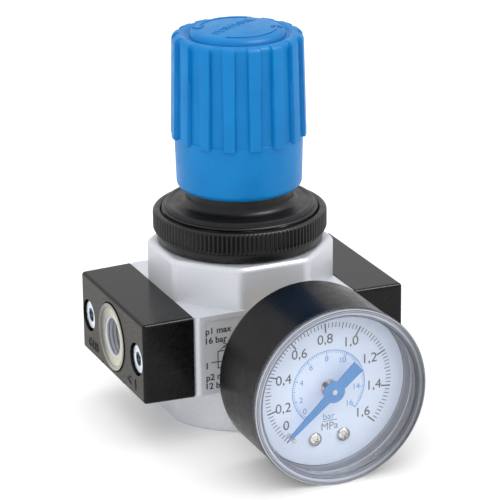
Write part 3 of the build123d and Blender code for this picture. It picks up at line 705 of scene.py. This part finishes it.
def build_knob_hub():
    """Column inside the knob with the hexagon socket that drives the spindle."""
    low = LIP_TOP - HUB_FOOT
    high = LIP_TOP - ROOF
    hub, flats = 6.9, 5.1
    columns = 96
    rows = [
        (hub, low + 0.3, 0), (hub, high, 0), (flats, high, 1), (flats, low + 0.4, 1),
        (5.4, low, 1), (6.6, low, 0),
    ]

    def point(row, column):
        radius, height, socket = rows[row]
        angle = TAU * column / columns
        if socket:
            radius = hexagon_radius(angle, radius)
        return polar(radius, angle, height)

    return ring_piece("knob_hub", len(rows), columns, point, 30)


dress(build_knob(), "knob_group", "knob_blue", stands_for=["knob"])
dress(build_knob_hub(), "knob_group", "knob_blue")
build_knob_marks()


# -------------------- panel nut and bonnet
bonnet_low, bonnet_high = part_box("bonnet")
LOCK_TEETH_RISE = 2.4
BONNET_ROOF = bonnet_high.z / MM - LOCK_TEETH_RISE
NUT_TEETH = 120
THREAD_PITCH = 1.5             # panel thread, mm


def helix_radius(crest, root, pitch, height, angle):
    """Radius of a rounded 60 degree thread at a height and angle."""
    phase = (height / pitch - angle / TAU) % 1.0
    return root + (crest - root) * smoothstep(0.10, 0.45, 1 - abs(2 * phase - 1))


def build_ring_nut():
    """Panel nut with 120 rounded serrations that run out below a smooth rim, and a threaded bore."""
    low = nut_low.z / MM
    high = nut_high.z / MM
    outer = nut_high.x / MM
    rows = [(18.35, low + 0.02, 0), (19.0, low, 0), (19.45, low + 0.05, 0), (19.62, low + 0.22, 0.15),
            (19.68, low + 0.5, 0.6), (outer, low + 0.85, 1)]
    rows += [(outer, low + 0.85 + (high - low - 1.75) * i / 6, 1) for i in range(1, 7)]
    rows += [(outer, high - 0.62, 0.9), (outer - 0.06, high - 0.42, 0.55), (outer - 0.2, high - 0.24, 0.2),
             (outer - 0.42, high - 0.08, 0), (outer - 0.7, high, 0), (18.9, high, 0), (18.5, high - 0.01, 0),
             (18.28, high - 0.10, 0), (18.12, high - 0.32, 0)]
    tooth_depth = 0.34
    thread = 30
    per_tooth = 8
    columns = NUT_TEETH * per_tooth
    bore_top = high - 0.5
    bore_low = low + 0.35

    def point(row, column):
        angle = TAU * column / columns
        if row < len(rows):
            radius, height, cut = rows[row]
            wave = 0.5 - 0.5 * math.cos(TAU * column / per_tooth)
            radius -= tooth_depth * cut * (1 - wave) ** 1.6
        else:
            height = bore_top + (bore_low - bore_top) * (row - len(rows)) / thread
            radius = helix_radius(17.99, 18.3, THREAD_PITCH, height, angle)
        return polar(radius, angle, height)

    return ring_piece("ring_nut_body", len(rows) + thread + 1, columns, point, 32)


def build_bonnet():
    """Stepped bonnet with softened edges, an external panel thread and keyways in the spring bore."""
    low = bonnet_low.z / MM
    collar = body_high.z / MM
    rim = nut_high.z / MM + 0.58
    shelf = rim + 1.05
    profile = [("r", 16.35, low + 0.05), ("r", 16.35, collar - 0.02), ("r", 17.3, collar)]
    thread_rows = 64
    thread_top = rim - 0.45
    thread_low = collar + 0.1
    for i in range(thread_rows + 1):
        profile.append(("t", 0, thread_low + (thread_top - collar - 0.1) * i / thread_rows))
    profile += [("r", r, h) for r, h in (
        (17.86, rim - 0.32), (17.78, rim - 0.14), (17.62, rim - 0.03), (17.45, rim), (17.24, rim),
        (17.12, rim + 0.02), (17.08, rim + 0.10), (17.08, rim + 0.62), (17.05, rim + 0.80),
        (16.96, rim + 0.95), (16.80, rim + 1.03), (16.6, shelf), (16.2, shelf), (16.05, shelf - 0.03),
        (15.95, shelf - 0.10), (15.8, shelf - 0.14), (15.0, shelf - 0.06), (14.2, shelf + 0.02))]
    profile += [("r", r, h) for r, h in arc_points((13.95, shelf + 1.68), 1.65, -88, -180, 12)]
    tower = BONNET_ROOF
    bore = 10.3
    profile += [("r", 12.3, tower - 0.4), ("r", 12.15, tower - 0.1), ("r", 11.9, tower), ("r", 4.6, tower),
                ("r", 4.56, tower - 2.5), ("k", bore, tower - 2.5), ("k", bore, 44.0), ("r", bore, 43.98),
                ("r", bore, 42.0), ("r", 13.6, 38.7), ("r", 13.6, low + 0.05), ("r", 14.0, low),
                ("r", 16.2, low)]
    columns = 240
    key_half = 1.5
    key_r = 11.45

    def point(row, column):
        kind, radius, height = profile[row]
        angle = TAU * column / columns
        if kind == "t":
            radius = helix_radius(17.9, 17.2, THREAD_PITCH, height, angle)
        if kind == "k" and abs(math.sin(angle) * 10.9) < key_half:
            radius = key_r
        return polar(radius, angle, height)

    return ring_piece("bonnet_body", len(profile), columns, point, 32)


def build_lock_teeth():
    """Ring of teeth on the bonnet's roof that holds the knob when it is pushed down."""
    teeth = 24
    per_tooth = 8
    columns = teeth * per_tooth
    low = BONNET_ROOF - 0.05
    high = bonnet_high.z / MM
    rows = [(7.5, low), (7.5, high - 0.2), (7.7, high), (8.8, high), (9.0, high - 0.2), (9.0, low)]
    outer_from = 3
    tooth_depth = 0.85

    def point(row, column):
        radius, height = rows[row]
        angle = TAU * column / columns
        if row >= outer_from and column % per_tooth in (0, 1, 7):
            radius += tooth_depth
        return polar(radius, angle, height)

    return ring_piece("bonnet_lock_teeth", len(rows), columns, point, 30)


dress(build_ring_nut(), "panel_nut", "black_plastic", stands_for=["ring_nut"])
dress(build_bonnet(), "housing", "black_plastic", stands_for=["bonnet"])
dress(build_lock_teeth(), "housing", "black_plastic")


def build_panel_washer():
    """Smooth washer band with rounded edges under the panel nut."""
    low = washer_low.z / MM
    high = washer_high.z / MM
    outer = washer_high.x / MM
    bore = 18.02
    profile = [
        (bore, low + 0.1), (18.1, low), (outer - 0.25, low), (outer - 0.08, low + 0.06), (outer, low + 0.22),
        (outer, high - 0.35), (outer - 0.07, high - 0.16), (outer - 0.2, high - 0.04), (outer - 0.35, high),
        (18.1, high), (bore, high - 0.1),
    ]
    return lathe("panel_washer_band", profile, UPRIGHT, 35)


dress(build_panel_washer(), "nut_washer", "black_plastic", stands_for=["panel_washer"])


# -------------------- port inserts and plate screws
PORT_PITCH = 0.907             # G1/8 thread, mm
PORT_CREST = 4.31
PORT_ROOT = 4.864
insert_face = -insert_low.x
screw_face = -screw_low.x


def build_insert(name, side):
    """Turned insert with a thin raised lip and a parallel thread."""
    columns = 144
    face = (insert_high.x - insert_low.x) / MM
    rows = [(INSERT_R, -face), (INSERT_R, -0.4), (7.84, -0.14), (7.77, -0.03), (7.66, 0.0), (7.20, 0.0),
            (7.05, -0.03), (6.94, -0.12), (6.88, -0.27), (6.80, -0.33), (6.2, -0.34), (5.5, -0.34),
            (4.98, -0.34), (4.90, -0.37), (4.84, -0.43)]
    thread = 130
    top = -0.5
    deep = face - 0.15
    place = port_place(side, insert_face)

    def point(row, column):
        angle = TAU * column / columns
        if row < len(rows):
            radius, height = rows[row]
        elif row < len(rows) + thread:
            height = top - (deep + top) * (row - len(rows)) / (thread - 1)
            radius = helix_radius(PORT_CREST, PORT_ROOT, PORT_PITCH, height, angle)
            radius = max(radius, 4.75 + (height - top) * 2.5)
        else:
            radius, height = 4.4, -face
        return place @ polar(radius, angle, height)

    return ring_piece(name, len(rows) + thread + 1, columns, point, 34)


def build_screw(name, side, offset):
    """M4 socket-head screw with a knurled head and a hexagon socket."""
    flutes = 30
    per_flute = 6
    columns = flutes * per_flute
    head, knurl_depth = 3.5, 0.17
    crest, root, pitch = 1.98, 1.58, 0.7
    length = (screw_high.x - screw_low.x) / MM
    rows = [("k", head, -3.9), ("k", head, -0.55), ("k", 3.46, -0.34), ("k", 3.36, -0.16),
            ("c", 3.2, -0.04), ("c", 3.05, 0.0), ("c", 2.2, 0.0), ("c", 1.95, 0.0), ("h", 1.58, -0.02),
            ("h", SOCKET_FLATS, -0.12), ("h", SOCKET_FLATS, -1.9), ("h", 1.42, -2.0), ("c", 0.9, -2.05),
            ("c", 0.05, -2.45), ("c", 0.05, -3.0), ("c", 0.05, -length)]
    place = port_place(side, screw_face, offset * MM)
    shank = 70
    start = -4.1
    total = len(rows) + shank + 3

    def point(row, column):
        angle = TAU * column / columns
        if row < len(rows):
            kind, radius, height = rows[row]
            if kind == "k":
                radius -= knurl_depth * (0.5 + 0.5 * math.cos(angle * flutes)) ** 1.4
            elif kind == "h":
                radius = hexagon_radius(angle, radius)
        elif row == len(rows):
            radius, height = 1.5, -length
        elif row <= len(rows) + shank:
            height = -length + 0.3 + (length + start - 0.3) * (row - len(rows)) / shank
            radius = helix_radius(crest, root, pitch, height, angle)
        elif row == total - 2:
            radius, height = 2.0, -4.0
        else:
            radius, height = 3.3, -4.0
        return place @ polar(radius, angle, height)

    return ring_piece(name, total, columns, point, 34)


SIDES = ((-1, "inlet"), (1, "outlet"))
for side, side_name in SIDES:
    piece = build_insert(f"{side_name}_insert_turned", side)
    dress(piece, "housing", "insert_metal", stands_for=[f"{side_name}_insert"])
    rear = build_screw(f"{side_name}_screw_rear", side, SCREW_OFFSET)
    front = build_screw(f"{side_name}_screw_front", side, -SCREW_OFFSET)
    dress(rear, "housing", "screw_zinc", stands_for=[f"{side_name}_plate_screws"])
    dress(front, "housing", "screw_zinc")


# -------------------- printed and cast marks
def flat_bars(name, bars, low, high, place):
    """Thin solid bars; each bar is (x, y, angle in degrees, half length, half width) in mm."""
    verts = []
    faces = []
    for x, y, angle, half_length, half_width in bars:
        along = Vector((math.cos(math.radians(angle)), math.sin(math.radians(angle))))
        side = Vector((-along.y, along.x))
        first = len(verts)
        for height in (low, high):
            for a, b in ((-1, -1), (1, -1), (1, 1), (-1, 1)):
                spot = along * half_length * a + side * half_width * b
                verts.append(place @ (Vector((x + spot.x, y + spot.y, height)) * MM))
        faces += [
            (first + 3, first + 2, first + 1, first), (first + 4, first + 5, first + 6, first + 7),
            (first, first + 1, first + 5, first + 4), (first + 1, first + 2, first + 6, first + 5),
            (first + 2, first + 3, first + 7, first + 6), (first + 3, first, first + 4, first + 7),
        ]
    return make_piece(name, verts, faces, 30)


def moved(place, x, y):
    """A plane moved by (x, y) mm within itself."""
    return place @ Matrix.Translation((x * MM, y * MM, 0))


DIAL = gauge_place(dial_y)
PRINT = 0.03                   # thickness of a print, mm
FULL_SCALE = 1.6               # MPa
SCALE_START = 228.8            # degrees of the zero tick
SCALE_SWEEP = 270.8
MPA_SCALE_R = 15.4
BAR_SCALE_R = 8.86


def scale_angle(share):
    """Angle of a share of the full scale, clockwise from zero."""
    return SCALE_START - SCALE_SWEEP * share


def build_scale(name, outer, minor, middle, major, divisions, width, ink, slot):
    """Ring of ticks; every fifth is longer and every tenth is longest and heavier."""
    bars = []
    for i in range(divisions + 1):
        angle = scale_angle(i / divisions)
        length = major if i % 10 == 0 else middle if i % 5 == 0 else minor
        half_width = width * (1.8 if i % 10 == 0 else 1.0)
        radius = outer - length / 2
        spot = (radius * math.cos(math.radians(angle)), radius * math.sin(math.radians(angle)))
        bars.append((*spot, angle, length / 2, half_width))
    piece = flat_bars(name, bars, 0, PRINT, DIAL)
    dress(piece, "housing", slot, ink)


def build_dial_print():
    """Black scale in MPa outside, blue scale in bar inside, and the units under the hub."""
    build_scale("dial_scale_mpa", MPA_SCALE_R, 1.15, 1.5, 2.3, 80, 0.088, INK_BLACK, "case_black")
    build_scale("dial_scale_bar", BAR_SCALE_R, 0.62, 0.78, 0.95, 80, 0.055, INK_BLUE, "pointer_blue")
    arc = arc_points((0, 0), BAR_SCALE_R, scale_angle(0), scale_angle(1), 120)
    ring = swept_bar("dial_scale_ring", arc, 0.07, 0, PRINT, DIAL, 0.01)
    dress(ring, "housing", "pointer_blue", INK_BLUE)
    for step in range(9):
        value = step * 0.2
        text = "0" if step == 0 else f"{value:.1f}".replace(".", ",")
        angle = math.radians(215 if step == 0 else scale_angle(value / FULL_SCALE) + 1.0)
        radius = 12.65 if step == 0 else 11.5
        place = moved(DIAL, radius * math.cos(angle), radius * math.sin(angle))
        piece = add_text(f"dial_mpa_{step}", text, 3.2, PRINT, place)
        dress(piece, "housing", "case_black", INK_BLACK)
        inner = math.radians(219 if step == 0 else scale_angle(value / FULL_SCALE) + 0.6)
        radius = 7.5 if step == 0 else 7.0
        place = moved(DIAL, radius * math.cos(inner), radius * math.sin(inner))
        piece = add_text(f"dial_bar_{step}", str(2 * step), 1.95, PRINT, place)
        dress(piece, "housing", "pointer_blue", INK_BLUE)
    piece = add_text("dial_unit_bar", "bar", 2.3, PRINT, moved(DIAL, 0.1, -6.9))
    dress(piece, "housing", "pointer_blue", INK_BLUE)
    line = flat_bars("dial_unit_line", [(0.3, -8.03, 0, 1.85, 0.08)], 0, PRINT, DIAL)
    dress(line, "housing", "case_black", INK_GREY)
    piece = add_text("dial_unit_mpa", "MPa", 2.5, PRINT, moved(DIAL, 0.3, -9.3))
    dress(piece, "housing", "case_black", INK_GREY)


build_dial_print()


DIAL_SCREW_Z = -11.9           # height of both dial screws from the gauge axis


def build_dial_screw(name, x):
    """Domed screw head with a cross recess."""
    columns = 96
    radii = [0.04 + 1.56 * (i / 26) for i in range(27)]
    shank = ((1.6, 0.12), (0.85, 0.0), (0.85, -1.9), (0.04, -1.9))

    def point(row, column):
        angle = TAU * column / columns
        if row >= len(radii):
            radius, height = shank[row - len(radii)]
        else:
            radius = radii[row]
            height = 0.22 + 0.86 * math.sqrt(max(0.0, 1 - (radius / 1.62) ** 2))
            a, b = radius * math.cos(angle + 0.6), radius * math.sin(angle + 0.6)
            arm = min(abs(a), abs(b))
            reach = max(abs(a), abs(b))
            cut = (1 - smoothstep(0.10, 0.22, arm)) * (1 - smoothstep(0.62, 0.86, reach))
            height -= 0.42 * cut
        return moved(DIAL, x, DIAL_SCREW_Z) @ polar(radius, angle, height)

    return ring_piece(name, len(radii) + len(shank), columns, point, 40)


dress(build_dial_screw("dial_screw_left", -3.4), "housing", "dial_screw_steel", stands_for=["dial_screws"])
dress(build_dial_screw("dial_screw_right", 3.6), "housing", "dial_screw_steel")


def build_lens():
    """Clear snap-on lens: stepped rim, recessed pane and a skirt inside the case."""
    front = (case_low.y - lens_low.y) / MM
    pane = front - 0.42
    profile = [
        (0.02, pane), (LENS_PANE_R, pane), (18.85, pane), (19.0, front - 0.34), (19.08, front - 0.08),
        (19.2, front), (19.45, front), (19.55, front - 0.06), (19.62, front - 0.22), (19.72, front - 0.24),
        (19.80, front - 0.12), (19.92, front - 0.10), (20.1, front - 0.16), (20.28, front - 0.32),
        (20.38, front - 0.55), (LENS_R, front - 0.85), (LENS_R, 0.03), (20.32, 0.0), (19.47, 0.0),
        (19.45, -0.1), (19.45, -2.25), (19.40, -2.3), (18.62, -2.3), (18.55, -2.24), (18.42, -0.5),
        (LENS_PANE_R, 0.06), (17.9, 0.12), (0.02, 0.12),
    ]
    return lathe("gauge_lens_clear", profile, gauge_place(case_low.y), 24)


dress(build_lens(), "housing", "clear_lens", stands_for=["gauge_lens"])


# -------------------- panel print and plate marks
FRONT = gauge_place(body_low.y + 0.2 * MM)
plate_face = -plate_low.x


def build_panel_print():
    """Port digits, maximum pressures and the general symbol of a pressure regulator."""
    bars = []

    def line(x0, z0, x1, z1, half_width=0.11):
        angle = math.degrees(math.atan2(z1 - z0, x1 - x0))
        half_length = math.hypot(x1 - x0, z1 - z0) / 2 + half_width * 0.5
        bars.append(((x0 + x1) / 2, (z0 + z1) / 2, angle, half_length, half_width))

    left, right, low, high, flow = -14.2, 14.2, -3.4, 0.6, -1.9
    line(left, low, left, high)
    line(left, low, left + 4, low)
    line(left, high, left + 4, high)
    line(left - 1.6, flow, left + 3.4, flow)
    line(left + 2.6, -1.5, left + 3.4, flow)
    line(left + 2.6, -2.3, left + 3.4, flow)
    spring = ((1.9, 0), (2.5, 0.45), (1.3, 0.9), (2.5, 1.35), (1.3, 1.8), (1.9, 2.2))
    for (x0, z0), (x1, z1) in zip(spring, spring[1:]):
        line(left + x0, high + z0, left + x1, high + z1, 0.09)
    line(left + 0.6, high + 0.3, left + 3.2, high + 2.0, 0.09)
    line(right, low, right, high)
    line(right - 4, low, right, low)
    line(right - 4, high, right, high)
    line(right - 3.4, flow, right + 1.6, flow)
    piece = flat_bars("panel_symbol", bars, 0, PRINT, FRONT)
    dress(piece, "housing", "black_plastic", INK_BLACK)
    margin = -17.1
    labels = (
        ("p1 max", margin, 5.5), ("16 bar", margin, 3.5), ("1", -17.0, -2.5),
        ("p2 max", margin, -5.6), ("12 bar", margin, -7.5), ("2", 16.6, -2.5),
    )
    for i, (text, x, z) in enumerate(labels):
        piece = add_text(f"panel_label_{i}", text, 2.1, PRINT, moved(FRONT, x, z), 0.045, 0)
        dress(piece, "housing", "black_plastic", INK_BLACK)


def build_plate_marks():
    """Raised port digit, flow arrow and thread size cast into each plate's face."""
    for (side, side_name), digit, arrow in zip(SIDES, "12", "<>"):
        face = port_place(side, plate_face - 0.05 * MM)
        marks = (
            ("digit", digit, 3.6, 14.4, -6.3), ("arrow", arrow, 4.2, 10.6, -6.3),
            ("size", "G1/8", 3.1, -12.4, -6.4),
        )
        for label, text, size, x, y in marks:
            piece = add_text(f"{side_name}_cast_{label}", text, size, 0.2, moved(face, x, y))
            dress(piece, "housing", "plate_paint", CAST_BLACK)


build_panel_print()
build_plate_marks()

# -------------------- floor, lights, camera
def build_floor():
    """Plain pale floor with a faint glow that keeps its shadow light."""
    bpy.ops.mesh.primitive_plane_add(size=6, location=(0, 0, cad_low.z))
    floor = bpy.context.object
    floor.name = "studio_floor"
    paint = Paint("studio_floor", (0.92, 0.92, 0.92), 0.7)
    paint.color(paint.noise(6, 2), (0.91, 0.91, 0.91), (0.93, 0.93, 0.93))
    paint.shader.inputs["Emission Color"].default_value = (1, 1, 1, 1)
    paint.shader.inputs["Emission Strength"].default_value = 0.12
    floor.data.materials.append(paint.material)


def add_area(name, location, target, size, power):
    """White rectangular lamp at a location, turned to its target."""
    light = bpy.data.lights.new(name, "AREA")
    light.shape = "RECTANGLE"
    light.size, light.size_y = size
    light.energy = power
    lamp = bpy.data.objects.new(name, light)
    lamp.location = location
    lamp.rotation_euler = (Vector(target) - Vector(location)).to_track_quat("-Z", "Y").to_euler()
    bpy.context.scene.collection.objects.link(lamp)
    return lamp


build_floor()
key = add_area("key", (-0.45, -0.55, 0.75), (0, 0, 0.03), (0.5, 0.5), 1.6)
key.visible_glossy = False                 # soft light only, no highlight
sheen = add_area("sheen", (0.30, -0.27, 0.70), (0, 0, 0.05), (0.35, 0.35), 7.0)
sheen.visible_diffuse = False              # highlights on edges only
add_area("fill", (0.75, -0.35, 0.45), (0, 0, 0.04), (0.5, 0.6), 0.5)
add_area("top", (0.05, 0.15, 0.9), (0, 0, 0.04), (0.7, 0.7), 1.6)

world = bpy.data.worlds.new("studio")
bpy.context.scene.world = world
world.use_nodes = True
world.node_tree.nodes["Background"].inputs["Color"].default_value = (1, 1, 1, 1)
world.node_tree.nodes["Background"].inputs["Strength"].default_value = 1.0

# camera: the side, height, roll and distance that give the object's proportions in the frame
AZIMUTH = math.radians(-23.345)
ELEVATION = math.radians(19.802)
ROLL = math.radians(-0.654)
DISTANCE = 0.6236
TARGET = Vector((0.002453, 0, 0.036146))
back = Vector((
    math.sin(AZIMUTH) * math.cos(ELEVATION),
    -math.cos(AZIMUTH) * math.cos(ELEVATION),
    math.sin(ELEVATION),
))
level = Vector((math.cos(AZIMUTH), math.sin(AZIMUTH), 0))
rise = back.cross(level)
right = level * math.cos(ROLL) + rise * math.sin(ROLL)
up = back.cross(right)
camera_data = bpy.data.cameras.new("camera")
camera_data.lens = 194.7
camera_data.sensor_width = 36
camera = bpy.data.objects.new("camera", camera_data)
bpy.context.scene.collection.objects.link(camera)
camera.matrix_world = Matrix((
    (right.x, up.x, back.x, TARGET.x + back.x * DISTANCE),
    (right.y, up.y, back.y, TARGET.y + back.y * DISTANCE),
    (right.z, up.z, back.z, TARGET.z + back.z * DISTANCE),
    (0, 0, 0, 1),
))
bpy.context.scene.camera = camera
bpy.context.scene.view_settings.view_transform = "Standard"
